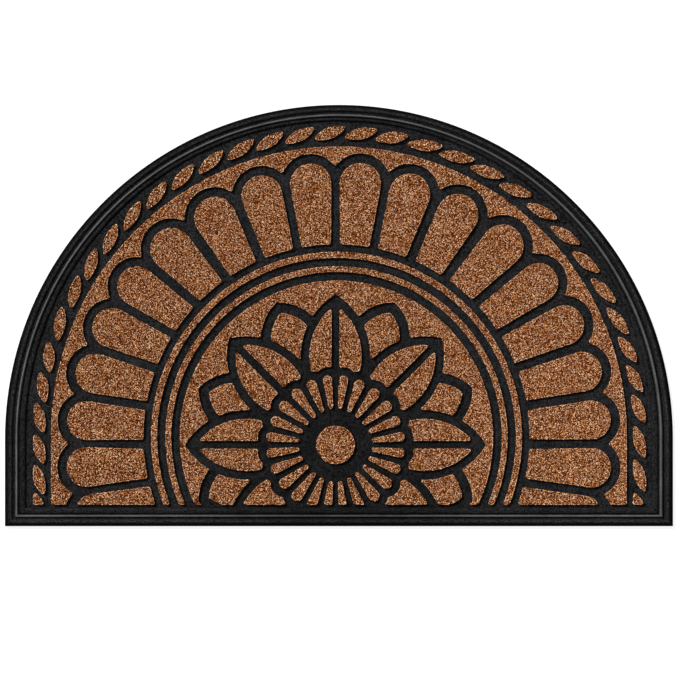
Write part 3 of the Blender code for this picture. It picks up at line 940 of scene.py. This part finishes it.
class DOORMAT_OT_plate(bpy.types.Operator):
    """Make the moulded rubber plate with its beaded rim"""

    bl_idname = "doormat.plate"
    bl_label = "Rubber plate"

    def execute(self, context):
        settings = context.scene.doormat.plate
        plate = new_piece("moulded_plate", moulded_plate(settings))
        plate.data.materials.append(moulded_rubber(settings))
        finish_piece(plate, "moulded_rubber", PLATE_NODE)
        return {"FINISHED"}


class PadOperator:
    """What all operators that make pads of pile share: the start of their nodes' names."""

    starts = ()

    def execute(self, context):
        nodes = sorted(name for name in frame["nodes"] if name.startswith(self.starts))
        if not nodes:
            raise RuntimeError(f"the frame has no node that starts with {self.starts}")
        pile_pads(nodes, context.scene.doormat.pile)
        return {"FINISHED"}


class DOORMAT_OT_rope(PadOperator, bpy.types.Operator):
    """Make the slanted leaves of the rope border"""

    bl_idname = "doormat.rope"
    bl_label = "Rope border"
    starts = ("rope_",)


class DOORMAT_OT_outer_field(PadOperator, bpy.types.Operator):
    """Make the scalloped field round the arches"""

    bl_idname = "doormat.outer_field"
    bl_label = "Outer field"
    starts = ("outer_field",)


class DOORMAT_OT_arches(PadOperator, bpy.types.Operator):
    """Make the arcade of arches"""

    bl_idname = "doormat.arches"
    bl_label = "Arches"
    starts = ("arch_",)


class DOORMAT_OT_rings(PadOperator, bpy.types.Operator):
    """Make the two thin rings"""

    bl_idname = "doormat.rings"
    bl_label = "Rings"
    starts = ("ring_",)


class DOORMAT_OT_inner_field(PadOperator, bpy.types.Operator):
    """Make the field between the rings and the flower"""

    bl_idname = "doormat.inner_field"
    bl_label = "Inner field"
    starts = ("inner_field",)


class DOORMAT_OT_petals(PadOperator, bpy.types.Operator):
    """Make the flower's large and small petals"""

    bl_idname = "doormat.petals"
    bl_label = "Petals"
    starts = ("petal_", "small_petal_")


class DOORMAT_OT_rosette(PadOperator, bpy.types.Operator):
    """Make the flower's disc and the flutes round it"""

    bl_idname = "doormat.rosette"
    bl_label = "Rosette"
    starts = ("rosette_",)


class DOORMAT_OT_lay(bpy.types.Operator):
    """Check that the rubber plate has all its pads of pile; the mat already lies flat"""

    bl_idname = "doormat.lay"
    bl_label = "Lay flat"

    def execute(self, context):
        pads = [piece for piece in context.scene.objects if piece.name.startswith("pile_")]
        if len(pads) != len(frame["nodes"]) - 1:
            raise RuntimeError("a pad of pile is missing")
        return {"FINISHED"}


# The room is dimmest up to the first height, 1 being straight above, and brightest from the second
DIM_UP_TO = 0.1
BRIGHT_FROM = 0.95
DIM_SHARE = 0.25


def white_room(settings):
    """A room whose ceiling is bright and whose walls are darker towards the floor."""
    world = bpy.data.worlds.new("white_room")
    world.use_nodes = True
    tree = world.node_tree
    way = add_node(tree, "ShaderNodeTexCoord").outputs["Generated"]
    height = add_node(tree, "ShaderNodeSeparateXYZ", links={"Vector": way}).outputs["Z"]
    glow = add_node(
        tree, "ShaderNodeMapRange", {"interpolation_type": "SMOOTHSTEP"},
        {"From Min": DIM_UP_TO, "From Max": BRIGHT_FROM,
         "To Min": settings.sky_strength * DIM_SHARE, "To Max": settings.sky_strength},
        {"Value": height},
    ).outputs["Result"]
    background = tree.nodes["Background"]
    background.inputs["Color"].default_value = (1, 1, 1, 1)
    tree.links.new(glow, background.inputs["Strength"])
    return world


# What the camera looks straight down at, and how many metres far it sees
VIEW_CENTRE = Vector((1.2, -27.5, 3.2)) * MM
CLIP_END = 100

# Half the floor's width in metres, and how far it lies under the mat
FLOOR_HALF = 30
FLOOR_GAP = 0.05 * MM

# The key light shines from the upper left, and its shadows are soft by this angle
KEY_TURN = (math.radians(-35.5), math.radians(-45), 0)
KEY_ANGLE = math.radians(7)


class DOORMAT_OT_stage(bpy.types.Operator):
    """Set up the camera straight above the mat, the soft light and the white floor"""

    bl_idname = "doormat.stage"
    bl_label = "Stage"

    def execute(self, context):
        scene = context.scene
        settings = scene.doormat.stage
        camera = bpy.data.objects.new("camera", bpy.data.cameras.new("camera"))
        camera.data.lens = settings.lens
        distance = settings.view_width * settings.lens / camera.data.sensor_width
        camera.location = VIEW_CENTRE + Vector((0, 0, distance))
        camera.data.clip_end = CLIP_END
        scene.collection.objects.link(camera)
        scene.camera = camera

        floor_mesh = bpy.data.meshes.new("floor")
        shape = bmesh.new()
        bmesh.ops.create_grid(shape, x_segments=1, y_segments=1, size=FLOOR_HALF)
        shape.to_mesh(floor_mesh)
        shape.free()
        floor = new_piece("floor", floor_mesh)
        floor.location.z = -FLOOR_GAP
        floor_mesh.materials.append(paper_sweep())

        key = bpy.data.objects.new("key_light", bpy.data.lights.new("key_light", "SUN"))
        key.data.energy = settings.key_strength
        key.data.angle = KEY_ANGLE
        key.rotation_euler = KEY_TURN
        scene.collection.objects.link(key)

        scene.world = white_room(settings)
        scene.view_settings.view_transform = "Standard"
        return {"FINISHED"}


class DOORMAT_PT_panel(bpy.types.Panel):
    """Lists the steps that make the mat, in their order"""

    bl_idname = "DOORMAT_PT_panel"
    bl_label = "Half-round doormat"
    bl_space_type = "VIEW_3D"
    bl_region_type = "UI"
    bl_category = "Doormat"

    def draw(self, context):
        for step in STEPS:
            self.layout.operator(step.bl_idname)
        for group in (context.scene.doormat.plate, context.scene.doormat.pile, context.scene.doormat.stage):
            box = self.layout.box()
            for name in group.bl_rna.properties.keys():
                if name not in ("rna_type", "name"):
                    box.prop(group, name)


STEPS = (
    DOORMAT_OT_stage,
    DOORMAT_OT_plate,
    DOORMAT_OT_rope,
    DOORMAT_OT_outer_field,
    DOORMAT_OT_arches,
    DOORMAT_OT_rings,
    DOORMAT_OT_inner_field,
    DOORMAT_OT_petals,
    DOORMAT_OT_rosette,
    DOORMAT_OT_lay,
)
CLASSES = (PlateSettings, PileSettings, StageSettings, DoormatSettings, *STEPS, DOORMAT_PT_panel)


def register():
    for each in CLASSES:
        bpy.utils.register_class(each)
    bpy.types.Scene.doormat = bpy.props.PointerProperty(type=DoormatSettings)


def unregister():
    del bpy.types.Scene.doormat
    for each in reversed(CLASSES):
        bpy.utils.unregister_class(each)


def main():
    register()
    for step in STEPS:
        group, name = step.bl_idname.split(".")
        getattr(getattr(bpy.ops, group), name)()


if __name__ == "__main__":
    main()
